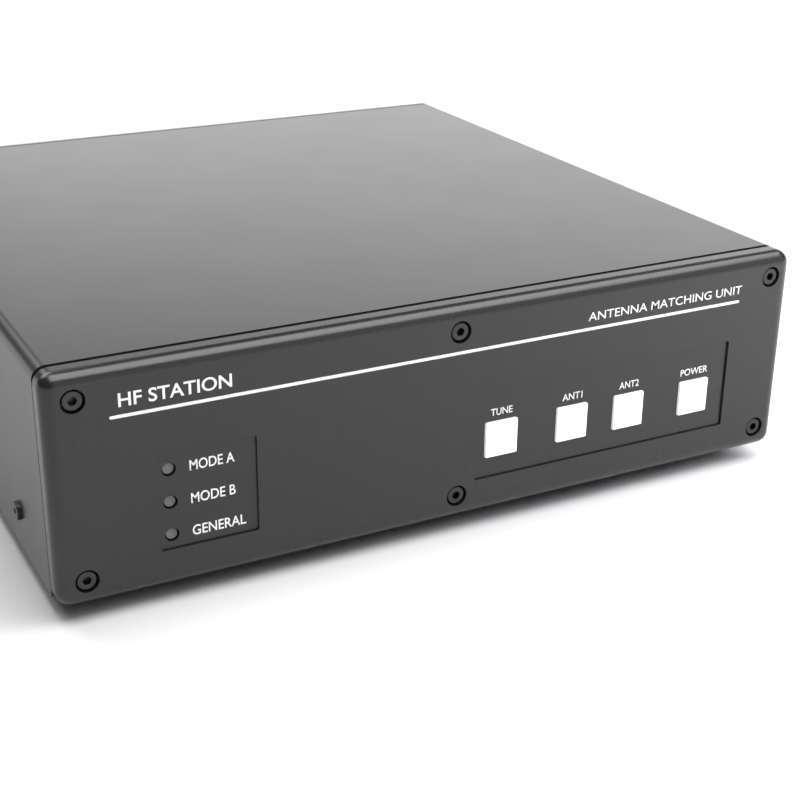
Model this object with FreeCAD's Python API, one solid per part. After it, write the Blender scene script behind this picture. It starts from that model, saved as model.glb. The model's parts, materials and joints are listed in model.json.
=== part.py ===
import FreeCAD, Part
import os
from math import cos, pi, radians, sin, tan

from FreeCAD import Placement, Rotation, Vector

# Automatic antenna tuner: a flat metal case with a thick front panel, four push buttons, three indicator
# windows, three coaxial sockets and an earth stud at the rear, and a relay-switched L network inside.
# Millimetres. +Z up, the front faces -Y, X runs left to right as seen from the front.
# The origin is the middle of the footprint, on the surface that the feet stand on.

# ---- driving dimensions ----
panel_width = 310.0
panel_height = 86.2
panel_thickness = 9.2
panel_corner_radius = 5.6
panel_front_radius = 5.0
panel_face_thickness = 5.0
panel_rim = 4.5
recess_depth = 0.9

case_width = 309.2
case_height = 86.0
case_depth = 310.0
sheet = 1.6
cover_bend_radius = 4.8
cover_front_gap = 2.4
cover_rear_gap = 0.8
chassis_sheet = 2.0
chassis_bend_radius = 2.4
chassis_play = 0.2
side_flange_height = 25.0
rear_panel_thickness = 3.0
rear_panel_radius = cover_bend_radius
wall_frame_x = 128.0
wall_frame_z = 28.0

foot_height = 7.0
foot_radius = 9.0
foot_x = 125.0
foot_inset = 30.0

button_width = 13.9
button_height = 14.4
button_gap = 0.3
button_proud = 0.0
button_corner_radius = 0.45
button_edge_radius = 0.3
stud_reach = 22.0
socket_reach = 16.0

# ---- positions worked out from them ----
front = -(button_proud + case_depth + stud_reach) / 2 + button_proud
case_bottom = foot_height
mid_z = case_bottom + case_height / 2
case_top = case_bottom + case_height
wall_back = panel_thickness + chassis_sheet
cover_inside_x = case_width / 2 - sheet
chassis_half_x = cover_inside_x - chassis_play
floor_top = case_bottom + chassis_sheet

# ---- fasteners: shank radius, head radius, head height, key width, key depth ----
m4_cap = (2.0, 3.5, 4.0, 3.0, 2.2)
m4_low = (2.0, 3.6, 1.6, 2.5, 1.0)
m3_pan = (1.5, 2.8, 2.2, 2.0, 1.2)
thread_gap = 0.02
m3_hole_radius = 1.6
m4_hole_radius = 2.25
panel_screw_x = 144.5
panel_screw_z = 33.4
panel_screw_places = [
    (x, z) for x in (-panel_screw_x, 0.0, panel_screw_x) for z in (-panel_screw_z, panel_screw_z)
]
boss_radius = 6.5
counterbore_radius = 4.3
counterbore_depth = 4.6
cover_screw_depths = (49.5, 155.0, 260.5)
cover_screw_z = mid_z - 26.8

# ---- front panel layout, in X and in height from the middle of the panel ----
recess_z = (-28.6, 8.7)
indicator_recess_x = (-117.6, -81.1)
button_recess_x = (7.6, 126.2)
indicator_x = -113.3
indicator_z = [2.0 - 12.6 * i for i in range(3)]
indicator_radius = 2.2
indicator_hole_radius = 2.6
indicator_sink = 0.8
button_z = -13.0
button_mid_x = 64.8
buttons = {
    "tune": button_mid_x - 45.5,
    "antenna_1": button_mid_x - 13.4,
    "antenna_2": button_mid_x + 13.4,
    "power": button_mid_x + 45.5,
}
plunger_radius = 2.5
plunger_play = 0.05
button_flange = 1.0
switch_front = 8.6
front_board_front = 17.5
pipe_end = front_board_front - 3.9
lamp_front = pipe_end + 0.4
lamp_back = lamp_front + 2.6
board_thickness = 1.6
front_board_back = front_board_front + board_thickness
front_board_half = (140.0, 29.0)
front_board_fixings = [(x, z) for x in (-134.0, 134.0) for z in (-24.0, 24.0)]

# ---- main board: X half width, depth range behind the front face, height of its underside ----
main_board_half_x = 132.0
main_board_depth = (34.0, 268.0)
main_board_under = floor_top + 7.0
main_board_top = main_board_under + board_thickness
main_board_fixings = [(x, d) for x in (-126.0, 126.0) for d in (40.0, 151.0, 262.0)]

# ---- rear panel layout, in X and in height from the middle of the panel ----
socket_z = 8.0
sockets = {"antenna_1": -104.0, "antenna_2": -62.0, "rf_input": 98.0}
socket_thread_radius = 7.94
socket_flange = 25.4
socket_hole_pitch = 18.2
socket_stub_radius = 7.9
insulator_radius = 6.05
contact_radius = 2.6
contact_bore_radius = 2.0
stud_x, stud_z = 52.0, -10.0
stud_radius = 3.0
dc_x, dc_z = 14.0, -8.0
control_x, control_z = -18.0, -8.0

nodes = {}


# ---- shape helpers ----
def at(depth):
    """Y of a plane this far behind the front face of the panel."""
    return front + depth


def box(x0, x1, d0, d1, z0, z1):
    """Block between two X values, two depths behind the front face and two heights."""
    return Part.makeBox(x1 - x0, d1 - d0, z1 - z0, Vector(x0, at(d0), z0))


def rod_x(radius, depth, z, x0, x1):
    return Part.makeCylinder(radius, x1 - x0, Vector(x0, at(depth), z), Vector(1, 0, 0))


def rod_y(radius, x, z, d0, d1):
    return Part.makeCylinder(radius, d1 - d0, Vector(x, at(d0), z), Vector(0, 1, 0))


def rod_z(radius, x, depth, z0, z1):
    return Part.makeCylinder(radius, z1 - z0, Vector(x, at(depth), z0))


def tube_y(outer, inner, x, z, d0, d1):
    return rod_y(outer, x, z, d0, d1).cut(rod_y(inner, x, z, d0 - 1, d1 + 1))


def union(shapes):
    shapes = list(shapes)
    return shapes[0].multiFuse(shapes[1:]).removeSplitter() if len(shapes) > 1 else shapes[0]


def without(shape, tools):
    return shape.cut(Part.makeCompound(list(tools)))


def edges_along(shape, direction):
    """Straight edges parallel to a direction."""
    lines = [e for e in shape.Edges if e.Curve.TypeId == "Part::GeomLine"]
    return [e for e in lines if e.tangentAt(e.FirstParameter).cross(direction).Length < 1e-6]


def edges_at_depth(shape, depth):
    """Edges that lie in one plane across the case."""
    y = at(depth)
    return [e for e in shape.Edges if abs(e.BoundBox.YMin - y) < 1e-5 and abs(e.BoundBox.YMax - y) < 1e-5]


def plate(half_x, half_z, radius, d0, d1, x=0.0, z=mid_z):
    """Upright plate across the case with rounded corners."""
    slab = box(x - half_x, x + half_x, d0, d1, z - half_z, z + half_z)
    return slab.makeFillet(radius, edges_along(slab, Vector(0, 1, 0)))


def hexagon(width, height):
    """Hexagonal prism along +Z, by its width across flats."""
    reach = width / 2 / cos(pi / 6)
    corners = [Vector(reach * cos(pi / 3 * i), reach * sin(pi / 3 * i), 0) for i in range(7)]
    return Part.Face(Part.makePolygon(corners)).extrude(Vector(0, 0, height))


def placed(shape, position, direction):
    """Turn a shape built along +Z towards a direction and move it."""
    shape.Placement = Placement(position, Rotation(Vector(0, 0, 1), direction))
    return shape


def screw(kind, length, position, direction):
    """Socket screw: position is the middle of the head's outer face, direction points into the thread."""
    shank, head, head_height, key, key_depth = kind
    top = Part.makeCylinder(head, head_height)
    top = top.makeFillet(0.35, [e for e in top.Edges if e.Length > 3 * head and e.BoundBox.ZMax < 0.01])
    body = top.fuse(Part.makeCylinder(shank, length, Vector(0, 0, head_height))).removeSplitter()
    return placed(body.cut(hexagon(key, key_depth)), position, direction)


def bent_wire(points, bend, radius):
    """Round wire through points, each corner rounded to a bend radius."""
    edges = []
    start = points[0]
    for before, corner, after in zip(points, points[1:], points[2:]):
        into = (before - corner).normalize()
        out = (after - corner).normalize()
        half = into.getAngle(out) / 2
        cut = bend / tan(half)
        first = corner + into * cut
        last = corner + out * cut
        middle = corner + (into + out).normalize() * (bend / sin(half) - bend)
        edges.append(Part.LineSegment(start, first).toShape())
        edges.append(Part.Arc(first, middle, last).toShape())
        start = last
    edges.append(Part.LineSegment(start, points[-1]).toShape())
    path = Part.Wire(edges)
    section = Part.Wire(Part.makeCircle(radius, points[0], points[1] - points[0]))
    return path.makePipeShell([section], True, True)


def coil(mean_radius, length, turns, wire_radius):
    """Round wire wound along +Z from the origin, its first turn starting on the +X side."""
    steps = 16
    rise = length / turns / steps
    spots = [
        Vector(mean_radius * cos(2 * pi * i / steps), mean_radius * sin(2 * pi * i / steps), rise * i)
        for i in range(turns * steps + 1)
    ]
    path = Part.BSplineCurve()
    path.interpolate(spots)
    section = Part.Wire(Part.makeCircle(wire_radius, spots[0], path.tangent(path.FirstParameter)[0]))
    return Part.Wire(path.toShape()).makePipeShell([section], True, True)


# ---- enclosure ----
def front_panel():
    body = plate(panel_width / 2, panel_height / 2, panel_corner_radius, 0, panel_thickness)
    body = body.makeFillet(panel_front_radius, edges_at_depth(body, 0))
    inside_x = panel_width / 2 - panel_rim
    inside_z = panel_height / 2 - panel_rim
    hollow = plate(inside_x, inside_z, 2.0, panel_face_thickness, panel_thickness + 1)
    boss_root = panel_face_thickness - 0.5
    bosses = [rod_y(boss_radius, x, mid_z + z, boss_root, panel_thickness) for x, z in panel_screw_places]
    body = union([body.cut(hollow)] + bosses)
    recess_mid = mid_z + sum(recess_z) / 2
    recess_half = (recess_z[1] - recess_z[0]) / 2
    cuts = []
    for x0, x1 in (indicator_recess_x, button_recess_x):
        cuts.append(plate((x1 - x0) / 2, recess_half, 0.8, -1, recess_depth, (x0 + x1) / 2, recess_mid))
    for x, z in panel_screw_places:
        cuts.append(rod_y(counterbore_radius, x, mid_z + z, -1, counterbore_depth))
        cuts.append(rod_y(m4_hole_radius, x, mid_z + z, 0, panel_thickness + 1))
    for z in indicator_z:
        cuts.append(rod_y(indicator_hole_radius, indicator_x, mid_z + z, 0, panel_thickness))
    window = (button_width / 2 + button_gap, button_height / 2 + button_gap)
    for x in buttons.values():
        cuts.append(plate(*window, 0.8, 0, panel_thickness, x, mid_z + button_z))
    return without(body, cuts)


def top_cover():
    d0 = panel_thickness + cover_front_gap
    d1 = case_depth - rear_panel_thickness - cover_rear_gap
    half = case_width / 2
    outer = box(-half, half, d0, d1, case_bottom, case_top)
    long_edges = [e for e in edges_along(outer, Vector(0, 1, 0)) if e.BoundBox.ZMin > mid_z]
    outer = outer.makeFillet(cover_bend_radius, long_edges)
    inner = box(-cover_inside_x, cover_inside_x, d0 - 1, d1 + 1, case_bottom - 1, case_top - sheet)
    long_edges = [e for e in edges_along(inner, Vector(0, 1, 0)) if e.BoundBox.ZMin > mid_z]
    inner = inner.makeFillet(cover_bend_radius - sheet, long_edges)
    holes = [rod_x(m4_low[0] + 0.2, d, cover_screw_z, -half - 1, half + 1) for d in cover_screw_depths]
    return without(outer.cut(inner), holes)


def bottom_chassis():
    d0 = panel_thickness
    d1 = case_depth - rear_panel_thickness
    half = chassis_half_x
    wall_top = case_top - sheet - 2 * chassis_play
    outer = box(-half, half, d0, d1, case_bottom, wall_top)
    bottom_edges = [e for e in outer.Edges if e.BoundBox.ZMax < case_bottom + 0.01]
    outer = outer.makeFillet(chassis_bend_radius, bottom_edges)
    top_edges = [e for e in edges_along(outer, Vector(0, 1, 0)) if e.BoundBox.ZMin > mid_z]
    outer = outer.makeFillet(cover_bend_radius - sheet, top_edges)
    t = chassis_sheet
    tub = outer.cut(box(-half + t, half - t, d0 + t, d1 - t, floor_top, wall_top + 1))
    cuts = [box(-half - 1, half + 1, d0 + t, d1 - t, case_bottom + side_flange_height, wall_top + 1)]
    for a, b in ((d0 - 1, d0 + t + 1), (d1 - t - 1, d1 + 1)):
        cuts.append(plate(wall_frame_x, wall_frame_z, 3.0, a, b))
    for x, z in panel_screw_places:
        cuts.append(rod_y(m4_cap[0] + thread_gap, x, mid_z + z, d0 - 1, d1 + 1))
    for x, z in front_board_fixings:
        cuts.append(rod_y(m3_pan[0] + thread_gap, x, mid_z + z, d0 - 1, d0 + t + 1))
    for d in cover_screw_depths:
        cuts.append(rod_x(m4_low[0] + thread_gap, d, cover_screw_z, -half - 1, half + 1))
    for x, d in foot_places():
        cuts.append(rod_z(m3_pan[0] + thread_gap, x, d, case_bottom - 1, floor_top + 1))
    return without(tub, cuts)


def rear_panel():
    d0 = case_depth - rear_panel_thickness
    body = plate(case_width / 2, case_height / 2, rear_panel_radius, d0, case_depth)
    body = body.makeFillet(0.8, edges_at_depth(body, case_depth))
    cuts = [rod_y(m4_hole_radius, x, mid_z + z, d0 - 1, case_depth + 1) for x, z in panel_screw_places]
    for x in sockets.values():
        cuts.append(rod_y(socket_stub_radius + 0.2, x, mid_z + socket_z, d0 - 1, case_depth + 1))
        for sx, sz in square(socket_hole_pitch / 2):
            cuts.append(rod_y(m3_hole_radius, x + sx, mid_z + socket_z + sz, d0 - 1, case_depth + 1))
    cuts.append(rod_y(stud_radius + 0.1, stud_x, mid_z + stud_z, d0 - 1, case_depth + 1))
    cuts.append(rod_y(dc_neck_radius + 0.1, dc_x, mid_z + dc_z, d0 - 1, case_depth + 1))
    cuts.append(rod_y(control_neck_radius + 0.1, control_x, mid_z + control_z, d0 - 1, case_depth + 1))
    return without(body, cuts)


def square(half):
    """Offsets of a square's four corners."""
    return [(sx * half, sz * half) for sx in (-1, 1) for sz in (-1, 1)]


def foot_places():
    return [(x, d) for x in (-foot_x, foot_x) for d in (foot_inset, case_depth - foot_inset)]


def feet():
    pad_radius = 8.0
    recess = 3.5
    for x, d in foot_places():
        base = Vector(x, at(d), 0)
        foot = Part.makeCone(pad_radius, foot_radius, foot_height, base)
        foot = foot.makeFillet(0.8, [e for e in foot.Edges if e.BoundBox.ZMax < 0.01])
        foot = without(foot, [rod_z(4.0, x, d, -1, recess), rod_z(1.6, x, d, 0, foot_height + 1)])
        bolt = screw(m3_pan, 7.0, Vector(x, at(d), recess - m3_pan[2]), Vector(0, 0, 1))
        yield foot, bolt


def enclosure():
    nodes["front_panel"] = front_panel()
    nodes["top_cover"] = top_cover()
    nodes["bottom_chassis"] = bottom_chassis()
    nodes["rear_panel"] = rear_panel()
    pairs = list(feet())
    nodes["rubber_feet"] = Part.makeCompound([foot for foot, _ in pairs])
    nodes["foot_screws"] = Part.makeCompound([bolt for _, bolt in pairs])
    head_depth = counterbore_depth - m4_cap[2]
    nodes["front_panel_screws"] = Part.makeCompound([
        screw(m4_cap, 10.0, Vector(x, at(head_depth), mid_z + z), Vector(0, 1, 0))
        for x, z in panel_screw_places
    ])
    nodes["rear_panel_screws"] = Part.makeCompound([
        screw(m4_low, 7.0, Vector(x, at(case_depth + m4_low[2]), mid_z + z), Vector(0, -1, 0))
        for x, z in panel_screw_places
    ])
    reach = case_width / 2 + m4_low[2]
    nodes["cover_screws"] = Part.makeCompound([
        screw(m4_low, 6.0, Vector(side * reach, at(d), cover_screw_z), Vector(-side, 0, 0))
        for side in (-1, 1) for d in cover_screw_depths
    ])


# ---- push buttons, their switches and the indicators ----
def button_cap(x):
    """Square lens cap with a skirt, a flange that stops it behind the panel, and a round plunger."""
    z = mid_z + button_z
    half_x = button_width / 2
    half_z = button_height / 2
    lens = 1.6
    wall = 1.2
    stop = panel_face_thickness + 0.05
    cap = plate(half_x, half_z, button_corner_radius, -button_proud, stop, x, z)
    cap = cap.makeFillet(button_edge_radius, edges_at_depth(cap, -button_proud))
    flange = plate(half_x + button_flange, half_z + button_flange, 1.0, stop, stop + 1.0, x, z)
    inside = plate(half_x - wall, half_z - wall, button_corner_radius, lens - button_proud, stop + 2, x, z)
    plunger = rod_y(plunger_radius, x, z, lens - button_proud - 0.2, 13.0)
    return union([union([cap, flange]).cut(inside), plunger])


def button_spring(x):
    """Coil spring round the plunger, between the lens and the switch body."""
    wire_radius = 0.3
    mean_radius = 3.2
    d0 = 1.6 - button_proud + wire_radius + 0.05
    d1 = switch_front - wire_radius - 0.05
    spring = coil(mean_radius, d1 - d0, 5, wire_radius)
    return placed(spring, Vector(x, at(d0), mid_z + button_z), Vector(0, 1, 0))


def controls():
    switches = []
    pin_holes = []
    z = mid_z + button_z
    for name, x in buttons.items():
        nodes[name + "_button"] = button_cap(x)
        nodes[name + "_spring"] = button_spring(x)
        housing = plate(6.3, 6.3, 0.8, switch_front, front_board_front, x, z)
        housing = housing.cut(rod_y(plunger_radius + plunger_play, x, z, switch_front - 1, 16.0))
        legs = [rod_y(0.4, x + sx, z + sz, front_board_front - 0.5, 20.6) for sx, sz in square(4.5)]
        switches.append(union([housing] + legs))
        pin_holes += [rod_y(0.5, x + sx, z + sz, front_board_front - 1, 25) for sx, sz in square(4.5)]
    nodes["switch_bodies"] = Part.makeCompound(switches)

    windows = []
    lamps = []
    for z in indicator_z:
        z = mid_z + z
        tip = recess_depth + indicator_sink
        pipe = rod_y(indicator_radius, indicator_x, z, tip, pipe_end)
        pipe = pipe.makeFillet(0.3, edges_at_depth(pipe, tip))
        collar = rod_y(3.3, indicator_x, z, panel_face_thickness, panel_face_thickness + 1.0)
        windows.append(union([pipe, collar]))
        lamp = rod_y(1.9, indicator_x, z, lamp_front, lamp_back)
        lamp = lamp.makeFillet(1.2, edges_at_depth(lamp, lamp_front))
        lamps.append(union([lamp, rod_y(2.4, indicator_x, z, lamp_back - 0.1, front_board_front)]))
    nodes["indicator_windows"] = Part.makeCompound(windows)
    nodes["indicator_leds"] = Part.makeCompound(lamps)

    half_x, half_z = front_board_half
    board = plate(half_x, half_z, 1.5, front_board_front, front_board_back)
    fixings = [(x, mid_z + z) for x, z in front_board_fixings]
    hole_depths = (front_board_front - 1, front_board_back + 1)
    board_holes = [rod_y(m3_hole_radius, x, z, *hole_depths) for x, z in fixings]
    nodes["front_board"] = without(board, board_holes + pin_holes)
    nodes["front_board_spacers"] = Part.makeCompound([
        tube_y(3.2, m3_hole_radius, x, z, wall_back, front_board_front) for x, z in fixings
    ])
    nodes["front_board_screws"] = Part.makeCompound([
        screw(m3_pan, 9.0, Vector(x, at(front_board_back + m3_pan[2]), z), Vector(0, -1, 0))
        for x, z in fixings
    ])
    front_board_parts()


def chip_on_front_board(x, z, width, height, thickness):
    """Flat package on the back of the front board, its legs shown as a thin ledge."""
    d = front_board_back
    body = box(x - width / 2, x + width / 2, d + 0.1, d + thickness, z - height / 2, z + height / 2)
    ledge = box(x - width / 2 - 1, x + width / 2 + 1, d, d + 0.4, z - height / 2 + 0.6, z + height / 2 - 0.6)
    return union([body, ledge])


def front_board_parts():
    high = mid_z + 8.0
    chips = [chip_on_front_board(0.0, high, 12.0, 12.0, 1.6)]
    chips += [chip_on_front_board(x, high + 4, 10.0, 7.5, 2.0) for x in (-34.0, 34.0, 60.0)]
    crystal = plate(5.5, 2.2, 1.8, front_board_back, front_board_back + 3.5, 16.0, high - 9)
    nodes["front_board_chips"] = Part.makeCompound(chips + [crystal])


# ---- ribbon cable between the two boards ----
ribbon_x = (-76.0, -44.0)
ribbon_z = 38.0
ribbon_bend = 5.0
ribbon_thickness = 1.0
header_size = 8.5
header_depth = 7.4
plug_depth = 6.0


def ribbon():
    x0, x1 = ribbon_x
    half = header_size / 2
    front_end = front_board_back + header_depth
    header_z = (ribbon_z - half, ribbon_z + half)
    nodes["front_header"] = box(x0 - 2, x1 + 2, front_board_back, front_end, *header_z)
    down = front_end + plug_depth + 10.0 + ribbon_bend + ribbon_thickness / 2
    low_end = main_board_top + header_depth
    nodes["main_header"] = box(x0 - 2, x1 + 2, down - half, down + half, main_board_top, low_end)
    front_plug = box(x0 - 1, x1 + 1, front_end, front_end + plug_depth, ribbon_z - 3, ribbon_z + 3)
    low_plug = box(x0 - 1, x1 + 1, down - 3, down + 3, low_end, low_end + plug_depth - 2)
    nodes["ribbon_plugs"] = Part.makeCompound([front_plug, low_plug])
    t = ribbon_thickness / 2
    turn_d = down - ribbon_bend - t
    turn_z = ribbon_z - ribbon_bend - t
    flat = box(x0, x1, front_end + plug_depth, turn_d, ribbon_z - t, ribbon_z + t)
    ring = rod_x(ribbon_bend + 2 * t, turn_d, turn_z, x0, x1)
    ring = ring.cut(rod_x(ribbon_bend, turn_d, turn_z, x0 - 1, x1 + 1))
    corner = ring.common(box(x0 - 1, x1 + 1, turn_d, down + 5, turn_z, ribbon_z + 5))
    drop = box(x0, x1, down - t, down + t, low_end + plug_depth - 2, turn_z)
    nodes["ribbon_cable"] = union([flat, corner, drop])


# ---- main board and its parts ----
def board_block(x, depth, width, length, height, radius=0.8, lift=0.0):
    """Block standing on the main board, upright edges rounded; width in X, length in depth."""
    z0 = main_board_top + lift
    block = box(x - width / 2, x + width / 2, depth - length / 2, depth + length / 2, z0, z0 + height)
    return block.makeFillet(radius, edges_along(block, Vector(0, 0, 1)))


def main_board():
    d0, d1 = main_board_depth
    board = box(-main_board_half_x, main_board_half_x, d0, d1, main_board_under, main_board_top)
    board = board.makeFillet(2.0, edges_along(board, Vector(0, 0, 1)))
    hole_heights = (main_board_under - 1, main_board_top + 1)
    holes = [rod_z(m3_hole_radius, x, d, *hole_heights) for x, d in main_board_fixings]
    nodes["main_board"] = without(board, holes)
    spacers = []
    for x, d in main_board_fixings:
        pillar = hexagon(5.5, main_board_under - floor_top)
        pillar = pillar.cut(Part.makeCylinder(m3_pan[0] + thread_gap, 20))
        pillar.Placement = Placement(Vector(x, at(d), floor_top), Rotation())
        spacers.append(pillar)
    nodes["main_board_spacers"] = Part.makeCompound(spacers)
    nodes["main_board_screws"] = Part.makeCompound([
        screw(m3_pan, 6.5, Vector(x, at(d), main_board_top + m3_pan[2]), Vector(0, 0, -1))
        for x, d in main_board_fixings
    ])


relay_count = 8
relay_pitch = 28.0
relay_rows = (112.0, 214.0)


def relay(x, depth, width, length, height):
    body = board_block(x, depth, width, length, height, 0.8, 0.3)
    body = body.makeFillet(0.6, [e for e in body.Edges if e.BoundBox.ZMin > main_board_top + height])
    base = board_block(x, depth, width - 1.5, length - 1.5, 0.5, 0.4)
    return union([body, base])


def control_parts():
    row = 56.0
    nodes["relay_drivers"] = Part.makeCompound([
        union([board_block(x, row, 22.8, 6.4, 3.4, 0.3, 0.6), board_block(x, row, 21.6, 5.0, 0.8, 0.2)])
        for x in (-8.0, 22.0, 52.0)
    ])
    cans = []
    for x, d in ((84.0, 52.0), (96.0, 52.0), (84.0, 66.0)):
        can = rod_z(4.0, x, d, main_board_top, main_board_top + 12.0)
        can = can.makeFillet(0.5, [e for e in can.Edges if e.BoundBox.ZMin > main_board_top + 11])
        cans.append(can)
    nodes["filter_capacitors"] = Part.makeCompound(cans)
    sink_x, sink_d = 116.0, 60.0
    base = board_block(sink_x, sink_d, 3.0, 30.0, 26.0, 0.3)
    fins = [board_block(sink_x + 6.0, sink_d - 13.0 + 5.2 * i, 10.0, 1.4, 26.0, 0.2) for i in range(6)]
    nodes["heat_sink"] = union([base] + fins)
    body = board_block(sink_x - 3.9, sink_d, 4.4, 10.0, 15.0, 0.3, 6.0)
    legs = [board_block(sink_x - 3.9, sink_d + 2.54 * i, 0.6, 0.9, 6.5, 0.1) for i in (-1, 0, 1)]
    nodes["voltage_regulator"] = union([body] + legs)


def rf_switching():
    first = -relay_pitch * (relay_count - 1) / 2
    nodes["network_relays"] = Part.makeCompound([
        relay(first + relay_pitch * i, d, 13.0, 29.0, 16.0) for d in relay_rows for i in range(relay_count)
    ])
    nodes["antenna_relays"] = Part.makeCompound([
        relay(sockets[name], 248.0, 28.0, 30.0, 26.0) for name in ("antenna_1", "antenna_2")
    ])
    discs = []
    for i in range(relay_count):
        x = first + relay_pitch * i
        z = main_board_top + 10.5
        disc = rod_y(7.0, x, z, 84.0, 88.5)
        disc = disc.makeFillet(1.0, edges_at_depth(disc, 84.0) + edges_at_depth(disc, 88.5))
        legs = [rod_z(0.5, x + s, 86.25, main_board_top, z - 3.0) for s in (-3.75, 3.75)]
        discs.append(union([disc] + legs))
    nodes["rf_capacitors"] = Part.makeCompound(discs)


coil_depth = 163.0
toroid_places = (22.0, 60.0, 98.0)
toroid_outer, toroid_inner, toroid_half = 25.4, 16.0, 7.0
toroid_z = main_board_top + 30.0
turns_per_toroid = 12


def toroids():
    cores = []
    turns = []
    for x in toroid_places:
        core = rod_x(toroid_outer, coil_depth, toroid_z, x - toroid_half, x + toroid_half)
        core = core.cut(rod_x(toroid_inner, coil_depth, toroid_z, x - 20, x + 20))
        cores.append(core.makeFillet(1.5, [e for e in core.Edges if e.Curve.TypeId == "Part::GeomCircle"]))
        middle = Vector(x, at(coil_depth), toroid_z)
        for i in range(turns_per_toroid):
            angle = 45.0 + 270.0 * i / (turns_per_toroid - 1) - 90.0
            turn = wire_loop(toroid_inner, toroid_outer, toroid_half)
            turn.rotate(Vector(0, 0, 0), Vector(1, 0, 0), angle)
            turn.translate(middle)
            turns.append(turn)
    nodes["toroid_cores"] = Part.makeCompound(cores)
    nodes["toroid_windings"] = Part.makeCompound(turns)


def wire_loop(inner, outer, half):
    """One closed turn of thick wire round the section of a ring core whose axis is X, on its +Y side."""
    gap = 0.3
    wire = 1.8
    lo, hi = inner - gap, outer + gap
    loop = Part.makeBox(
        2 * (half + gap + wire), hi - lo + 2 * wire, wire, Vector(-half - gap - wire, lo - wire, -wire / 2))
    loop = loop.makeFillet(2.0, edges_along(loop, Vector(0, 0, 1)))
    opening = Part.makeBox(2 * (half + gap), hi - lo, 2 * wire, Vector(-half - gap, lo, -wire))
    return loop.cut(opening)


air_coil_places = (-102.0, -66.0, -30.0)
air_coil_radius = 13.0
air_wire = 1.25
air_turns = 7
air_pitch = 5.5
air_coil_z = main_board_top + 24.0


def air_coils():
    length = air_pitch * air_turns
    coils = []
    supports = []
    for x in air_coil_places:
        start = Vector(x, at(coil_depth - length / 2), air_coil_z)
        coils.append(placed(coil(air_coil_radius, length, air_turns, air_wire), start, Vector(0, 1, 0)))
        top = air_coil_z - air_coil_radius - air_wire - 0.4
        d0 = coil_depth - length / 2
        supports.append(box(x - 5, x + 5, d0, d0 + length, main_board_top, top))
    nodes["air_coils"] = Part.makeCompound(coils)
    nodes["coil_supports"] = Part.makeCompound(supports)


def swr_bridge():
    """Upright sensor board with a ferrite ring on each face, the input wire passing through both."""
    x, z = sockets["rf_input"], mid_z + socket_z
    d = 256.0
    board = box(x - 22, x + 22, d, d + board_thickness, main_board_top, z + 18)
    nodes["swr_board"] = board.cut(rod_y(2.5, x, z, d - 1, d + 3))
    rings = []
    for a in (d - 10.2, d + board_thickness + 0.2):
        ring = tube_y(12.0, 6.5, x, z, a, a + 10.0)
        rings.append(ring.makeFillet(1.2, edges_at_depth(ring, a) + edges_at_depth(ring, a + 10.0)))
    nodes["swr_cores"] = Part.makeCompound(rings)


# ---- rear connections ----
contact_end = case_depth - 20.0
contact_face = case_depth + socket_reach - 4.0
dc_neck_radius = 4.4
dc_bore_radius = 2.85
dc_pin_radius = 1.05
control_neck_radius = 6.6


def coaxial_socket(x):
    """Flange, threaded barrel and rear stub in one piece, with four notches in the rim."""
    z = mid_z + socket_z
    mouth = case_depth + socket_reach
    flange = plate(socket_flange / 2, socket_flange / 2, 2.0, case_depth, case_depth + 2.0, x, z)
    barrel = rod_y(socket_thread_radius, x, z, case_depth, mouth)
    barrel = barrel.makeChamfer(0.6, edges_at_depth(barrel, mouth))
    body = union([flange, barrel, rod_y(socket_stub_radius, x, z, case_depth - 5.0, case_depth + 1)])
    cuts = [rod_y(insulator_radius + 0.05, x, z, case_depth - 6.0, mouth + 1)]
    for sx, sz in square(socket_hole_pitch / 2):
        cuts.append(rod_y(m3_hole_radius, x + sx, z + sz, case_depth - 1, case_depth + 3))
    notch = 1.1
    cuts.append(box(x - notch, x + notch, mouth - 1.2, mouth + 1, z - 9, z + 9))
    cuts.append(box(x - 9, x + 9, mouth - 1.2, mouth + 1, z - notch, z + notch))
    return without(body, cuts)


def sockets_and_wires():
    shells = []
    insulators = []
    contacts = []
    bolts = []
    nuts = []
    wires = []
    z = mid_z + socket_z
    for name, x in sockets.items():
        shells.append(coaxial_socket(x))
        core = rod_y(insulator_radius, x, z, case_depth - 8.0, contact_face)
        insulators.append(core.cut(rod_y(contact_radius + 0.02, x, z, case_depth - 9.0, contact_face + 1)))
        pin = rod_y(contact_radius, x, z, case_depth - 12.0, contact_face + 0.4)
        cup = rod_y(1.9, x, z, contact_end, case_depth - 12.0)
        bore = rod_y(contact_bore_radius, x, z, contact_face - 9.0, contact_face + 2)
        contacts.append(union([pin, cup]).cut(bore))
        for sx, sz in square(socket_hole_pitch / 2):
            head = Vector(x + sx, at(case_depth + 2.0 + m3_pan[2]), z + sz)
            bolts.append(screw(m3_pan, 8.5, head, Vector(0, -1, 0)))
            nut = hexagon(5.5, 2.4).cut(Part.makeCylinder(m3_pan[0] + thread_gap, 5))
            seat = Vector(x + sx, at(case_depth - rear_panel_thickness), z + sz)
            nuts.append(placed(nut, seat, Vector(0, -1, 0)))
        landing = 236.0 if name == "rf_input" else 266.0
        corner = Vector(x, at(landing), z)
        points = [Vector(x, at(contact_end), z), corner, Vector(x, at(landing), main_board_top)]
        wires.append(bent_wire(points, 5.0, 1.2))
    nodes["socket_shells"] = Part.makeCompound(shells)
    nodes["socket_insulators"] = Part.makeCompound(insulators)
    nodes["socket_contacts"] = Part.makeCompound(contacts)
    nodes["socket_screws"] = Part.makeCompound(bolts)
    nodes["socket_nuts"] = Part.makeCompound(nuts)
    nodes["rf_wires"] = Part.makeCompound(wires)


nut_height = 5.0
washer_thickness = 1.2
washer_start = case_depth + nut_height + 0.02
wing_start = washer_start + washer_thickness + 0.03
hub_height = 7.5


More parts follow.
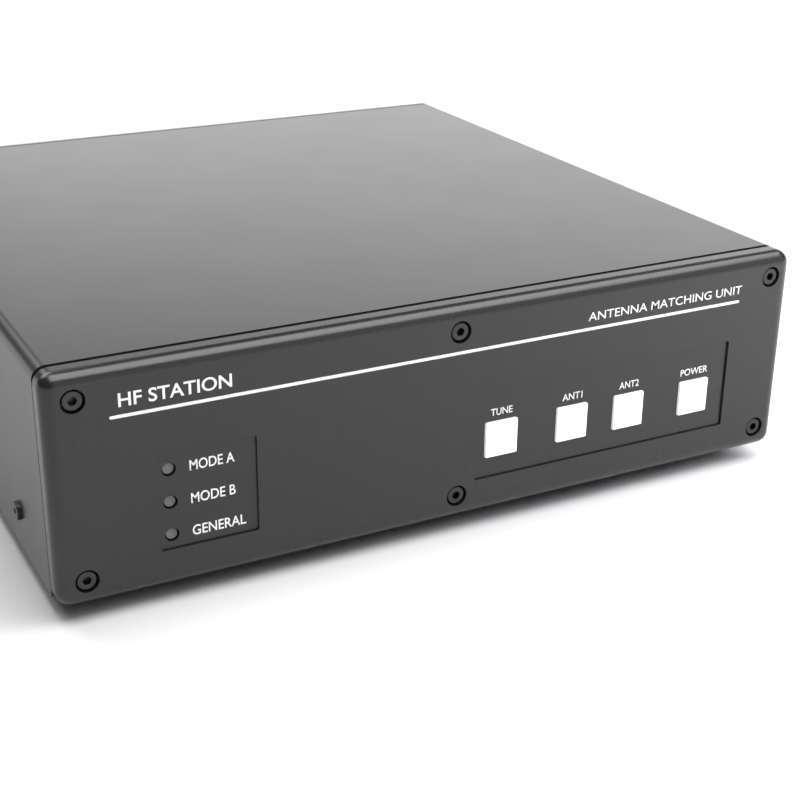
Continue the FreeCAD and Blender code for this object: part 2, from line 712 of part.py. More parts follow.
def earth_terminal():
    z = mid_z + stud_z
    tip = case_depth + stud_reach
    shank = rod_y(stud_radius, stud_x, z, case_depth - rear_panel_thickness, tip)
    shank = shank.makeChamfer(0.5, edges_at_depth(shank, tip))
    head_height = 4.0
    head_base = Vector(stud_x, at(case_depth - rear_panel_thickness - head_height), z)
    head = placed(hexagon(10.0, head_height), head_base, Vector(0, 1, 0))
    nodes["ground_stud"] = union([head, shank])
    nut = hexagon(10.0, nut_height).cut(Part.makeCylinder(stud_radius + thread_gap, 10))
    nodes["ground_nut"] = placed(nut, Vector(stud_x, at(case_depth), z), Vector(0, 1, 0))
    washer_end = washer_start + washer_thickness
    nodes["ground_washer"] = tube_y(6.4, stud_radius + 0.1, stud_x, z, washer_start, washer_end)
    nodes["wing_nut"] = wing_nut(z)


def wing_nut(z):
    d = wing_start
    hub = Part.makeCone(5.4, 4.7, hub_height, Vector(stud_x, at(d), z), Vector(0, 1, 0))
    wings = []
    thickness = 2.2
    for side in (-1, 1):
        outline = [(3.5, 1.6), (11.0, 3.4), (13.6, 6.4), (13.0, 11.2), (9.6, 11.0), (6.0, 7.2), (3.5, 7.0)]
        corners = [Vector(stud_x + side * r, at(d + h), z - thickness / 2) for r, h in outline]
        wing = Part.Face(Part.makePolygon(corners + corners[:1])).extrude(Vector(0, 0, thickness))
        outer = [e for e in edges_along(wing, Vector(0, 0, 1)) if abs(e.CenterOfMass.x - stud_x) > 5]
        wings.append(wing.makeFillet(1.0, outer))
    body = union([hub] + wings)
    return body.cut(rod_y(stud_radius + 0.05, stud_x, z, d - 1, d + 20))


def small_sockets():
    z = mid_z + dc_z
    inner = case_depth - rear_panel_thickness
    shell = union([
        plate(5.5, 5.5, 0.8, inner - 11.0, inner, dc_x, z),
        rod_y(dc_neck_radius, dc_x, z, inner - 0.5, case_depth + 3.0),
    ])
    nodes["dc_inlet_body"] = shell.cut(rod_y(dc_bore_radius, dc_x, z, case_depth - 9.0, case_depth + 4))
    ring = tube_y(6.4, dc_neck_radius + thread_gap, dc_x, z, case_depth, case_depth + 2.2)
    nodes["dc_inlet_nut"] = ring.makeFillet(0.4, edges_at_depth(ring, case_depth + 2.2)[:1])
    pin = rod_y(dc_pin_radius, dc_x, z, case_depth - 9.0, case_depth + 1.5)
    nodes["dc_inlet_pin"] = pin.makeFillet(0.5, edges_at_depth(pin, case_depth + 1.5))

    z = mid_z + control_z
    body = union([
        plate(7.5, 7.5, 0.8, inner - 9.0, inner, control_x, z),
        rod_y(control_neck_radius, control_x, z, inner - 0.5, case_depth + 0.8),
    ])
    groove = tube_y(4.8, 3.7, control_x, z, case_depth - 6.0, case_depth + 2)
    contact_holes = []
    circle = 2.4
    for i in range(6):
        a = radians(60.0 * i + 30.0)
        x = control_x + circle * cos(a)
        contact_holes.append(rod_y(0.55, x, z + circle * sin(a), case_depth - 5.0, case_depth + 2))
    nodes["control_socket"] = without(body, [groove] + contact_holes)
    wires = []
    for x, source, landing in ((dc_x - 3, inner - 11.0, 262.0), (dc_x + 3, inner - 11.0, 262.0)):
        start = Vector(x, at(source), mid_z + dc_z)
        corner = Vector(x, at(landing), mid_z + dc_z)
        wires.append(bent_wire([start, corner, Vector(x, at(landing), main_board_top)], 6.0, 1.0))
    for i in range(4):
        x = control_x - 4.5 + 3.0 * i
        start = Vector(x, at(inner - 9.0), z)
        corner = Vector(x, at(258.0), z)
        wires.append(bent_wire([start, corner, Vector(x, at(258.0), main_board_top)], 6.0, 0.8))
    nodes["supply_wires"] = Part.makeCompound(wires)


enclosure()
controls()
ribbon()
main_board()
control_parts()
rf_switching()
toroids()
air_coils()
swr_bridge()
sockets_and_wires()
earth_terminal()
small_sockets()

os.makedirs("parts", exist_ok=True)
for name, shape in nodes.items():
    shape.exportStep("parts/" + name + ".step")
    print(name, len(shape.Solids), shape.isValid(), round(shape.Volume))
print(len(nodes), "nodes")
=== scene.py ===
import json
from math import cos, pi, radians, sin

import bmesh
import bpy
from mathutils import Matrix, Vector


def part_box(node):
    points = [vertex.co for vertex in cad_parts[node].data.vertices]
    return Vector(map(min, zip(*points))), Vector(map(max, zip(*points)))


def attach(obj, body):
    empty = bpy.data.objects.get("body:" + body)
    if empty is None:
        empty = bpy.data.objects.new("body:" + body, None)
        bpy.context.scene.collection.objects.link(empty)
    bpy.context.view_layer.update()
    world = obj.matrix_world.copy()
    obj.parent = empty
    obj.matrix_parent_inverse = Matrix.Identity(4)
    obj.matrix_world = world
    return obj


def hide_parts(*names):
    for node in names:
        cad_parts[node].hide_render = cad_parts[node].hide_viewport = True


# Looks of a flat metal-cased antenna tuner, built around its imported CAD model. Metres, in the CAD frame:
# +Z up, the front panel faces -Y, +X to the right as seen from the front.

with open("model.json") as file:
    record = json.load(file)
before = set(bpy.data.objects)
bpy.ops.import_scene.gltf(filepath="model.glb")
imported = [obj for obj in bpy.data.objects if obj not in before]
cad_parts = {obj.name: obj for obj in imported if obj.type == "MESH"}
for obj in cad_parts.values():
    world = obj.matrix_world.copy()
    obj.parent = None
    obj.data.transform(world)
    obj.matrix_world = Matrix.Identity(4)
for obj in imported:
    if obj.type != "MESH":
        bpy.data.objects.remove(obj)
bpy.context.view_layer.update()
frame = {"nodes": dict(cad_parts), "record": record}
nodes = frame["nodes"]
mounts = {mount["name"]: Vector(mount["pos_m"]) for mount in frame["record"]["mounts"]}
MM = 0.001

panel_low, panel_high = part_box("front_panel")
FACE_Y = panel_low.y
REAR_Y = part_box("rear_panel")[1].y
MID_Z = (panel_low.z + panel_high.z) / 2
RECESS = 0.9 * MM


# ---- material building blocks ----
NOISE_ROUGHNESS = 0.55


class Finish:
    """One node material: a Principled shader and the textures that feed it."""

    def __init__(self, name, colour, roughness, metallic=0.0, **constants):
        self.material = bpy.data.materials.new(name)
        self.material.use_nodes = True
        self.tree = self.material.node_tree
        self.shader = self.tree.nodes["Principled BSDF"]
        self.colour = colour
        self.set("Base Color", (*colour, 1.0))
        self.set("Roughness", roughness)
        self.set("Metallic", metallic)
        for socket, value in constants.items():
            self.set(socket.replace("_", " "), value)
        self.place = self.add("ShaderNodeTexCoord").outputs["Object"]
        self.normal = None

    def set(self, socket, value):
        self.shader.inputs[socket].default_value = value

    def add(self, kind, **values):
        made = self.tree.nodes.new(kind)
        for key, value in values.items():
            setattr(made, key, value)
        return made

    def link(self, source, target):
        self.tree.links.new(source, target)

    def stretched(self, x, y, z):
        """Object coordinates scaled along each axis."""
        mapping = self.add("ShaderNodeMapping")
        mapping.inputs["Scale"].default_value = (x, y, z)
        self.link(self.place, mapping.inputs["Vector"])
        return mapping.outputs["Vector"]

    def noise(self, size, detail=3.0, place=None):
        """Noise whose features are about this many metres across."""
        texture = self.add("ShaderNodeTexNoise")
        texture.inputs["Scale"].default_value = 1.0 / size
        texture.inputs["Detail"].default_value = detail
        texture.inputs["Roughness"].default_value = NOISE_ROUGHNESS
        self.link(place or self.place, texture.inputs["Vector"])
        return texture.outputs["Fac"]

    def cells(self, size, feature="F1"):
        texture = self.add("ShaderNodeTexVoronoi", feature=feature)
        texture.inputs["Scale"].default_value = 1.0 / size
        self.link(self.place, texture.inputs["Vector"])
        return texture.outputs["Distance"]

    def spread(self, factor, low, high, start=0.3, end=0.7):
        """Stretches a texture's value range onto low to high."""
        ranged = self.add("ShaderNodeMapRange")
        ranged.inputs["From Min"].default_value = start
        ranged.inputs["From Max"].default_value = end
        ranged.inputs["To Min"].default_value = low
        ranged.inputs["To Max"].default_value = high
        self.link(factor, ranged.inputs["Value"])
        return ranged.outputs["Result"]

    def tint(self, factor, dark, light, start=0.3, end=0.7):
        """Base colour between two multiples of the material's colour."""
        ramp = self.add("ShaderNodeValToRGB")
        ramp.color_ramp.elements[0].position = start
        ramp.color_ramp.elements[1].position = end
        ramp.color_ramp.elements[0].color = (*[c * dark for c in self.colour], 1)
        ramp.color_ramp.elements[1].color = (*[min(1.0, c * light) for c in self.colour], 1)
        self.link(factor, ramp.inputs["Fac"])
        self.link(ramp.outputs["Color"], self.shader.inputs["Base Color"])

    def rough(self, factor, low, high, start=0.3, end=0.7):
        self.link(self.spread(factor, low, high, start, end), self.shader.inputs["Roughness"])

    def bump(self, height, distance):
        """Adds relief of this depth in metres; calls stack."""
        made = self.add("ShaderNodeBump")
        made.inputs["Strength"].default_value = 1.0
        made.inputs["Distance"].default_value = distance
        self.link(height, made.inputs["Height"])
        if self.normal:
            self.link(self.normal, made.inputs["Normal"])
        self.normal = made.outputs["Normal"]
        self.link(self.normal, self.shader.inputs["Normal"])


# ---- materials ----
def satin_paint(name, colour, roughness=0.27):
    """Baked satin paint: fine orange peel, a finer grain, faint cloudiness."""
    made = Finish(name, colour, roughness)
    made.tint(made.noise(0.04, 2.0), 0.94, 1.06, 0.1, 0.9)
    made.rough(made.noise(0.025, 2.0), roughness - 0.015, roughness + 0.015, 0.1, 0.9)
    made.bump(made.noise(0.0022, 1.0), 0.003 * MM)
    made.bump(made.noise(0.0007, 1.0), 0.0008 * MM)
    return made.material


def rolled_sheet(name, colour):
    """Rolled or extruded metal with its grain along the case."""
    made = Finish(name, colour, 0.32, 1.0)
    grain = made.noise(0.0006, 3.0, place=made.stretched(1.0, 0.02, 1.0))
    made.tint(grain, 0.88, 1.05)
    made.rough(made.noise(0.02, 4.0), 0.27, 0.42)
    made.bump(grain, 0.004 * MM)
    return made.material


def turned_metal(name, colour, roughness):
    """Plated or bare metal with fine machining marks and light handling haze."""
    wear = 0.12
    made = Finish(name, colour, roughness, 1.0)
    made.tint(made.noise(0.004, 4.0), 1.0 - wear, 1.0 + wear / 2)
    made.rough(made.noise(0.0015, 4.0), roughness - 0.06, roughness + 0.08)
    made.bump(made.noise(0.0002, 2.0, place=made.stretched(1.0, 0.2, 1.0)), 0.004 * MM)
    return made.material


def moulded_plastic(name, colour, roughness, **constants):
    """Moulded plastic with a fine spark-eroded grain."""
    grain = 0.4 * MM
    made = Finish(name, colour, roughness, 0.0, **constants)
    made.tint(made.noise(0.006, 3.0), 0.94, 1.06)
    made.rough(made.noise(0.004, 3.0), roughness - 0.05, roughness + 0.06)
    made.bump(made.noise(grain, 2.0), 0.008 * MM)
    return made.material


def black_rubber(name, colour):
    made = Finish(name, colour, 0.72)
    made.tint(made.noise(0.005, 5.0), 0.8, 1.35)
    made.rough(made.noise(0.003, 4.0), 0.62, 0.82)
    made.bump(made.cells(0.0007), 0.03 * MM)
    return made.material


def circuit_board(name, colour):
    """Solder resist with traces showing as a slightly raised, lighter pattern."""
    made = Finish(name, colour, 0.35)
    tracks = made.cells(0.004, "DISTANCE_TO_EDGE")
    made.tint(tracks, 1.5, 0.9, 0.03, 0.07)
    made.rough(made.noise(0.01, 3.0), 0.28, 0.42)
    made.bump(tracks, 0.03 * MM)
    return made.material


def printed_ink(name, colour):
    made = Finish(name, colour, 0.5)
    made.tint(made.noise(0.0012, 3.0), 0.93, 1.0)
    made.rough(made.noise(0.0006, 3.0), 0.45, 0.6)
    made.bump(made.noise(0.0003, 2.0), 0.004 * MM)
    return made.material


def painted_glow_lens(name, colour):
    """White light-spreading cap with a faint painted glow from its emission."""
    made = Finish(name, colour, 0.3, 0.0)
    made.set("Subsurface Weight", 0.25)
    made.set("Subsurface Radius", (0.002, 0.002, 0.002))
    # Painted glow: a faint emission brightens the cap, though it is no lamp.
    made.set("Emission Color", (1.0, 1.0, 1.0, 1.0))
    made.set("Emission Strength", 0.35)
    made.tint(made.noise(0.003, 3.0), 0.97, 1.0)
    made.rough(made.noise(0.002, 3.0), 0.26, 0.36)
    made.bump(made.noise(0.0005, 2.0), 0.004 * MM)
    return made.material


def enamelled_wire(name, colour):
    made = Finish(name, colour, 0.22, 1.0)
    made.tint(made.noise(0.003, 4.0), 0.8, 1.1)
    made.rough(made.noise(0.002, 3.0), 0.16, 0.3)
    made.bump(made.noise(0.0008, 2.0), 0.01 * MM)
    return made.material


def sintered(name, colour, roughness):
    """Pressed ferrite or ceramic body under a thin coat."""
    made = Finish(name, colour, roughness)
    made.tint(made.noise(0.002, 5.0), 0.85, 1.12)
    made.rough(made.noise(0.001, 3.0), roughness - 0.08, roughness + 0.1)
    made.bump(made.noise(0.0006, 3.0), 0.03 * MM)
    return made.material


finishes = {
    "panel": satin_paint("panel_paint", (0.013, 0.013, 0.0135)),
    "cover": satin_paint("cover_paint", (0.016, 0.0155, 0.016), 0.3),
    "chassis": satin_paint("chassis_powder_coat", (0.02, 0.02, 0.0205), 0.45),
    "black_screws": turned_metal("black_oxide", (0.06, 0.06, 0.062), 0.36),
    "zinc_screws": turned_metal("zinc_plate", (0.66, 0.68, 0.7), 0.3),
    "rubber": black_rubber("foot_rubber", (0.022, 0.022, 0.022)),
    "button_lens": painted_glow_lens("button_lens", (0.93, 0.94, 0.95)),
    "black_plastic": moulded_plastic("black_plastic", (0.025, 0.025, 0.026), 0.5),
    "window": moulded_plastic("window_plastic", (0.13, 0.13, 0.127), 0.25, IOR=1.49),
    "led": moulded_plastic("led_epoxy", (0.7, 0.78, 0.7), 0.12),
    "spring_steel": turned_metal("spring_steel", (0.6, 0.6, 0.6), 0.25),
    "circuit_board": circuit_board("solder_resist", (0.012, 0.11, 0.05)),
    "chip": moulded_plastic("chip_epoxy", (0.03, 0.03, 0.032), 0.55),
    "relay_case": moulded_plastic("relay_case", (0.03, 0.07, 0.22), 0.3),
    "capacitor_can": moulded_plastic("capacitor_sleeve", (0.05, 0.055, 0.09), 0.3),
    "ceramic": sintered("disc_coat", (0.08, 0.2, 0.42), 0.35),
    "ferrite": sintered("iron_powder_coat", (0.42, 0.04, 0.03), 0.4),
    "dark_ferrite": sintered("bare_ferrite", (0.06, 0.06, 0.062), 0.5),
    "copper": enamelled_wire("enamelled_copper", (0.66, 0.27, 0.12)),
    "cable": moulded_plastic("cable_jacket", (0.4, 0.4, 0.41), 0.45),
    "nylon": moulded_plastic("nylon_support", (0.78, 0.77, 0.72), 0.42),
    "nickel": turned_metal("nickel_plate", (0.7, 0.68, 0.64), 0.22),
    "insulator": moulded_plastic("white_insulator", (0.85, 0.84, 0.8), 0.4),
    "gold_contact": turned_metal("gold_plate", (0.83, 0.62, 0.26), 0.24),
    "brass": turned_metal("bright_brass", (0.78, 0.57, 0.24), 0.27),
    "heat_sink": rolled_sheet("black_anodised", (0.05, 0.05, 0.052)),
}
print_white = printed_ink("white_ink", (0.86, 0.86, 0.85))

for part in frame["record"]["subparts"]:
    mesh = nodes[part["node"]].data
    mesh.materials.clear()
    mesh.materials.append(finishes[part["material_slot"]])


# ---- pieces ----
def new_piece(name, mesh, material):
    """Links a mesh as a shown piece on the case, which is the root body."""
    mesh.materials.clear()
    mesh.materials.append(material)
    piece = bpy.data.objects.new(name, mesh)
    bpy.context.scene.collection.objects.link(piece)
    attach(piece, "root")
    return piece


# ---- threaded fittings at the rear ----
SHARP_DEGREES = 35.0


def thread_radius(crest, pitch, groove, y, turn, start, end):
    """Radius of a V thread at a height and angle; the groove fades in and out at its ends."""
    phase = (y / pitch - turn / (2 * pi)) % 1.0
    ramp = min(1.0, max(0.0, (y - start) / pitch), max(0.0, (end - y) / pitch))
    v = abs(2 * phase - 1)
    return crest - groove * ramp * min(1.0, max(0.0, (v - 0.12) / 0.76))


def lathe(bm, centre, columns, closed):
    """Joins columns of (radius, y) points, one per angle, into a closed surface round +Y through a point."""
    rings = []
    for turn, profile in columns:
        points = [centre + Vector((r * cos(turn), y, -r * sin(turn))) for r, y in profile]
        rings.append([bm.verts.new(point) for point in points])
    count = len(rings[0])
    spans = count if closed else count - 1
    for i, ring in enumerate(rings):
        after = rings[(i + 1) % len(rings)]
        for j in range(spans):
            k = (j + 1) % count
            bm.faces.new((ring[j], after[j], after[k], ring[k]))
    if not closed:
        bm.faces.new([ring[-1] for ring in rings])
        bm.faces.new([ring[0] for ring in reversed(rings)])


def finish_mesh(bm, name):
    """Merges doubled points, turns faces outwards and smooths all but the sharp edges."""
    bmesh.ops.remove_doubles(bm, verts=bm.verts, dist=1e-6)
    bmesh.ops.dissolve_degenerate(bm, edges=bm.edges, dist=1e-6)
    bmesh.ops.recalc_face_normals(bm, faces=bm.faces)
    for face in bm.faces:
        face.smooth = True
    mesh = bpy.data.meshes.new(name)
    bm.to_mesh(mesh)
    bm.free()
    mesh.set_sharp_from_angle(angle=radians(SHARP_DEGREES))
    return mesh


def circle(bm, centre, radius, count):
    turns = [2 * pi * i / count for i in range(count)]
    return [bm.verts.new((centre.x + radius * cos(a), centre.y, centre.z + radius * sin(a))) for a in turns]


def loop_edges(bm, points):
    return [bm.edges.new((a, b)) for a, b in zip(points, points[1:] + points[:1])]


def flange(bm, centre, width, corner, thickness, bore, pitch, hole):
    """Square flange with round corners, four screw holes and a bore; the centre point is on its back."""
    half = width / 2 - corner
    steps = 6
    outline = []
    for i, (sx, sz) in enumerate(((1, 1), (-1, 1), (-1, -1), (1, -1))):
        for j in range(steps + 1):
            a = pi / 2 * (i + j / steps)
            x, z = centre.x + sx * half + corner * cos(a), centre.z + sz * half + corner * sin(a)
            outline.append(bm.verts.new((x, centre.y, z)))
    edges = loop_edges(bm, outline) + loop_edges(bm, circle(bm, centre, bore, 48))
    for sx, sz in ((1, 1), (-1, 1), (-1, -1), (1, -1)):
        spot = centre + Vector((sx * pitch / 2, 0, sz * pitch / 2))
        edges += loop_edges(bm, circle(bm, spot, hole, 24))
    filled = bmesh.ops.triangle_fill(bm, use_beauty=True, use_dissolve=False, edges=edges)
    faces = [g for g in filled["geom"] if isinstance(g, bmesh.types.BMFace)]
    swept = bmesh.ops.extrude_face_region(bm, geom=faces)
    raised = [g for g in swept["geom"] if isinstance(g, bmesh.types.BMVert)]
    bmesh.ops.translate(bm, verts=raised, vec=(0, thickness, 0))


def threaded_sockets():
    """The three coaxial sockets with their 5/8-24 threads, notched rims and flanges."""
    crest, bore, stub, mouth, tail = 7.94 * MM, 6.1 * MM, 7.9 * MM, 16.0 * MM, 6.0 * MM
    pitch, groove = 1.058 * MM, 0.62 * MM
    chamfer = 0.6 * MM
    start, end = 2.0 * MM, mouth - chamfer
    notch_half, notch_depth = radians(7.9), 1.2 * MM
    wall_rows = 112
    turns = [2 * pi * i / 96 for i in range(96)]
    edges = [k * pi / 2 + s * notch_half for k in range(4) for s in (-1, 1)]
    bm = bmesh.new()
    for name in ("antenna_1_thread", "antenna_2_thread", "rf_input_thread"):
        centre = Vector((mounts[name].x, REAR_Y, mounts[name].z))
        columns = []
        angles = [(a, 0) for a in turns] + [(a % (2 * pi), side) for a in edges for side in (-1, 1)]
        for turn, side in sorted(angles):
            off = (turn + pi / 4) % (pi / 2) - pi / 4
            inside = abs(off) < notch_half - 1e-6
            if side:
                inside = (side > 0) == (off < 0)
            top = mouth - notch_depth if inside else mouth
            wall = []
            for i in range(wall_rows + 1):
                y = start + (end - start) * i / wall_rows
                wall.append((thread_radius(crest, pitch, groove, y, turn, start + 0.4 * MM, end + pitch), y))
            wall.append((crest - groove - 0.1 * MM, mouth))
            wall += [(bore, mouth), (bore, -tail), (stub, -tail), (stub, start)]
            columns.append((turn, [(r, min(y, top)) for r, y in wall]))
        lathe(bm, centre, columns, closed=True)
        flange(bm, centre, 25.4 * MM, 2.0 * MM, 2.0 * MM, 7.5 * MM, 18.2 * MM, 1.6 * MM)
    piece = new_piece("threaded_sockets", finish_mesh(bm, "threaded_sockets"), finishes["nickel"])
    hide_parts("socket_shells")


def threaded_stud():
    """The earth stud with its M6 thread, hexagonal head inside the case and a chamfered tip."""
    low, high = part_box("ground_stud")
    centre = Vector(((low.x + high.x) / 2, 0, (low.z + high.z) / 2))
    crest, pitch, groove = 3.0 * MM, 1.0 * MM, 0.58 * MM
    head_top, tip = low.y + 4.0 * MM, high.y
    chamfer = 0.6 * MM
    bm = bmesh.new()
    columns = []
    rows = int((tip - head_top) / pitch * 9)
    for i in range(48):
        turn = 2 * pi * i / 48
        wall = [(crest * 0.9, head_top - 0.5 * MM)]
        for j in range(rows + 1):
            y = head_top + (tip - chamfer - head_top) * j / rows
            wall.append((thread_radius(crest, pitch, groove, y, turn, head_top, tip + pitch), y))
        wall.append((crest - groove - 0.1 * MM, tip))
        columns.append((turn, wall))
    lathe(bm, centre, columns, closed=False)
    across, bevel = 10.0 * MM, 0.4 * MM
    sides = []
    for i in range(36):
        turn = 2 * pi * i / 36
        flat = across / 2 / cos((turn + pi / 6) % (pi / 3) - pi / 6)
        inner = min(flat, across / 2 * 1.02)
        profile = [(inner, low.y), (flat, low.y + bevel), (flat, head_top - bevel), (inner, head_top)]
        sides.append((turn, profile))
    lathe(bm, centre, sides, closed=False)
    piece = new_piece("threaded_stud", finish_mesh(bm, "threaded_stud"), finishes["brass"])
    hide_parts("ground_stud")


# ---- printed legends ----
INK = 0.05 * MM
INK_PROUD = 0.01 * MM
FRONT_TURN = Matrix.Rotation(pi / 2, 4, "X")
REAR_TURN = Matrix.Rotation(pi, 4, "Z") @ FRONT_TURN


def lettering(text, cap_height, width, bold=0.0, align="LEFT"):
    """Flat raised letters in the XY plane: capitals of this height, the line of this width."""
    curve = bpy.data.curves.new("letters", "FONT")
    curve.body = text
    curve.size = 1.0
    curve.extrude = 0.5
    curve.offset = bold
    curve.resolution_u = 4
    shape = bpy.data.objects.new("letters", curve)
    bpy.context.scene.collection.objects.link(shape)
    bpy.context.view_layer.update()
    mesh = bpy.data.meshes.new_from_object(shape.evaluated_get(bpy.context.evaluated_depsgraph_get()))
    bpy.data.objects.remove(shape)
    bpy.data.curves.remove(curve)
    xs = [v.co.x for v in mesh.vertices]
    left, right = min(xs), max(xs)
    anchor = {"LEFT": left, "CENTER": (left + right) / 2, "RIGHT": right}[align]
    letter_height = 0.729
    mesh.transform(Matrix.Translation((-anchor, 0, 0)))
    mesh.transform(Matrix.Diagonal((width / (right - left), cap_height / letter_height, INK, 1)))
    return mesh


def front_legend(name, text, x, z, cap_height, width, depth=0.0, **style):
    """Lettering on the front panel; x, z in mm from the panel's middle, z at the letters' foot."""
    mesh = lettering(text, cap_height * MM, width * MM, **style)
    place = (x * MM, FACE_Y + depth + INK / 2 - INK_PROUD, MID_Z + z * MM)
    mesh.transform(Matrix.Translation(place) @ FRONT_TURN)
    return new_piece(name, mesh, print_white)


def rear_legend(name, text, x, z, cap_height, width, **style):
    mesh = lettering(text, cap_height * MM, width * MM, align="CENTER", **style)
    mesh.transform(Matrix.Translation((x, REAR_Y + INK / 2, z)) @ REAR_TURN)
    return new_piece(name, mesh, print_white)


def rounded_bar(x0, x1, z0, z1, y, radius):
    """Flat bar with round corners, INK thick, its outer face towards -Y."""
    bm = bmesh.new()
    outline = []
    steps = 4
    for cx, cz, start in ((x1 - radius, z1 - radius, 0), (x0 + radius, z1 - radius, 1),
                          (x0 + radius, z0 + radius, 2), (x1 - radius, z0 + radius, 3)):
        for i in range(steps + 1):
            turn = pi / 2 * (start + i / steps)
            outline.append(bm.verts.new((cx + radius * cos(turn), y, cz + radius * sin(turn))))
    face = bm.faces.new(outline)
    swept = bmesh.ops.extrude_face_region(bm, geom=[face])
    moved = [v for v in swept["geom"] if isinstance(v, bmesh.types.BMVert)]
    bmesh.ops.translate(bm, verts=moved, vec=(0, -INK, 0))
    bmesh.ops.recalc_face_normals(bm, faces=bm.faces)
    mesh = bpy.data.meshes.new("bar")
    bm.to_mesh(mesh)
    bm.free()
    return mesh


def front_legends():
    left, right, foot, top, corner = -132.8 * MM, 129.2 * MM, 24.7 * MM, 25.9 * MM, 0.5 * MM
    line = rounded_bar(left, right, MID_Z + foot, MID_Z + top, FACE_Y + INK - INK_PROUD, corner)
    new_piece("legend_line", line, print_white)
    front_legend("legend_title", "ANTENNA MATCHING UNIT", 130.0, 28.6, 3.6, 74.0, bold=0.004, align="RIGHT")
    front_legend("legend_station", "HF STATION", -129.5, 28.7, 5.0, 40.0, bold=0.015)
    for text, z in (("MODE A", 2.0), ("MODE B", -10.6), ("GENERAL", -23.2)):
        width = 20.0 if text == "GENERAL" else 16.5
        name = "legend_" + text.lower().replace(" ", "_")
        front_legend(name, text, -105.8, z - 2.0, 4.0, width, RECESS, bold=0.012)
    for name, text, width in (("tune", "TUNE", 9.6), ("antenna_1", "ANT1", 9.2),
                              ("antenna_2", "ANT2", 9.4), ("power", "POWER", 13.5)):
        low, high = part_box(name + "_button")
        x = (low.x + high.x) / 2 / MM
        front_legend("legend_" + name, text, x, -3.3, 3.0, width, RECESS, bold=0.008, align="CENTER")


def rear_legends():
    gap = 17.0 * MM
    for name, text, width in (("antenna_1_thread", "ANT 1", 13.0), ("antenna_2_thread", "ANT 2", 13.4),
                              ("rf_input_thread", "RF IN", 12.6)):
        place = mounts[name]
        label = "rear_" + name.replace("_thread", "")
        rear_legend(label, text, place.x, place.z + gap, 3.6, width, bold=0.01)
    for name, text, width, drop in (("dc_inlet", "DC 12 V", 14.0, 13.0),
                                    ("control_socket", "CONTROL", 16.0, 13.0),
                                    ("earth_stud", "GND", 8.0, 18.0)):
        place = mounts[name]
        rear_legend("rear_" + name, text, place.x, place.z - drop * MM, 3.0, width, bold=0.01)


front_legends()
rear_legends()
threaded_sockets()
threaded_stud()


# ---- stage: floor, light and camera ----
def floor():
    """Pale floor out to the horizon; it glows beyond the lights' reach, so that it stays white there."""
    bm = bmesh.new()
    reach = 30.0
    glow_start, glow_end = 0.6, 1.6
    bm.faces.new([bm.verts.new((x * reach, y * reach, 0)) for x, y in ((-1, -1), (1, -1), (1, 1), (-1, 1))])
    mesh = bpy.data.meshes.new("floor")
    bm.to_mesh(mesh)
    bm.free()
    plane = bpy.data.objects.new("floor", mesh)
    bpy.context.scene.collection.objects.link(plane)
    made = Finish("pale_floor", (0.66, 0.66, 0.66), 0.7)
    made.tint(made.noise(0.5, 3.0), 0.99, 1.01)
    distance = made.add("ShaderNodeVectorMath", operation="LENGTH")
    made.link(made.place, distance.inputs[0])
    made.set("Emission Color", (1.0, 1.0, 1.0, 1.0))
    glow = made.spread(distance.outputs["Value"], 0.0, 1.0, glow_start, glow_end)
    made.link(glow, made.shader.inputs["Emission Strength"])
    mesh.materials.append(made.material)


def soft_box(name, place, aim, width, height, radiance, colour=(1.0, 1.0, 1.0)):
    """Rectangular soft box facing a point; radiance 1 reflects as white in a mirror."""
    data = bpy.data.lights.new(name, "AREA")
    data.shape = "RECTANGLE"
    data.size = width
    data.size_y = height
    data.energy = radiance * pi * width * height
    data.color = colour
    lamp = bpy.data.objects.new(name, data)
    lamp.location = place
    lamp.rotation_mode = "QUATERNION"
    lamp.rotation_quaternion = (Vector(aim) - Vector(place)).to_track_quat("-Z", "Y")
    lamp.visible_camera = False
    bpy.context.scene.collection.objects.link(lamp)
    return lamp


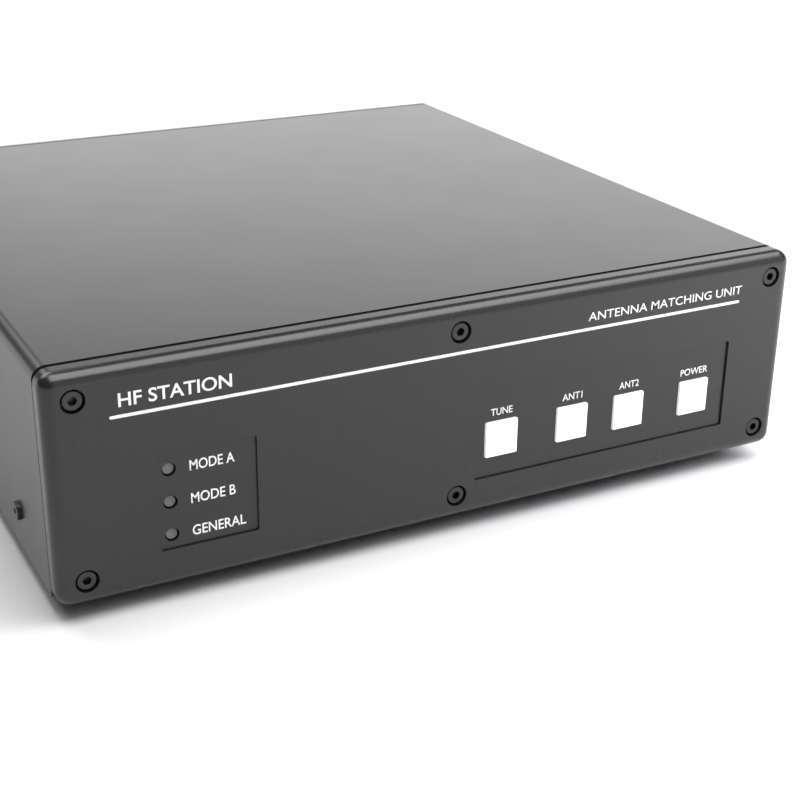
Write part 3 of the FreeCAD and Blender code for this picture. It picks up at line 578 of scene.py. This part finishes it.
def surroundings():
    """White at the horizon and dim above, with soft boxes overhead, behind and in front.

    The front right one only lights the floor, and the front card is only seen in reflections.
    """
    world = bpy.data.worlds.new("studio")
    world.use_nodes = True
    tree = world.node_tree
    direction = tree.nodes.new("ShaderNodeTexCoord").outputs["Generated"]
    parts = tree.nodes.new("ShaderNodeSeparateXYZ")
    ramp = tree.nodes.new("ShaderNodeValToRGB")
    ramp.color_ramp.elements[0].position = 0.06
    ramp.color_ramp.elements[0].color = (1.0, 1.0, 1.0, 1.0)
    ramp.color_ramp.elements[1].position = 0.15
    ramp.color_ramp.elements[1].color = (0.06, 0.06, 0.06, 1.0)
    tree.links.new(direction, parts.inputs["Vector"])
    tree.links.new(parts.outputs["Z"], ramp.inputs["Fac"])
    tree.links.new(ramp.outputs["Color"], tree.nodes["Background"].inputs["Color"])
    bpy.context.scene.world = world
    centre = (0, 0, 0.05)
    soft_box("overhead", (0.5, -0.45, 1.5), (0.5, -0.45, 0), 2.0, 1.4, 6.0)
    soft_box("back_right", (1.5, 1.85, 0.64), centre, 3.1, 0.95, 1.93)
    soft_box("back_wash", (-0.9, 2.3, 2.1), (-0.7, 2.0, 0), 2.2, 2.2, 4.0)
    cool = (0.94, 0.95, 1.0)
    floor_light = soft_box("front_right", (0.6, -0.45, 0.34), (0.4, -0.35, 0), 0.3, 0.3, 14.0, cool)
    floor_light.visible_glossy = False
    card = soft_box("front_card", (1.3, -2.3, 1.05), centre, 4.0, 1.7, 0.75)
    card.visible_diffuse = False


def camera():
    """Camera in front, above and to the left; its offsets are along its own right, up and back axes."""
    azimuth, elevation, roll = radians(-27.77), radians(23.43), radians(0.67)
    right_offset, up_offset, back_offset = -0.0220, 0.0060, 0.5578
    target = Vector((0, FACE_Y, MID_Z))
    back = Vector((sin(azimuth) * cos(elevation), -cos(azimuth) * cos(elevation), sin(elevation)))
    level = (-back).cross(Vector((0, 0, 1))).normalized()
    over = level.cross(-back)
    right = cos(roll) * level + sin(roll) * over
    up = -sin(roll) * level + cos(roll) * over
    data = bpy.data.cameras.new("camera")
    data.sensor_width = 36.0
    data.lens = 67.22
    eye = bpy.data.objects.new("camera", data)
    place = target + right_offset * right + up_offset * up + back_offset * back
    turn = Matrix((right, up, back)).transposed().to_4x4()
    eye.matrix_world = Matrix.Translation(place) @ turn
    bpy.context.scene.collection.objects.link(eye)
    bpy.context.scene.camera = eye


floor()
surroundings()
camera()
bpy.context.scene.view_settings.view_transform = "Standard"
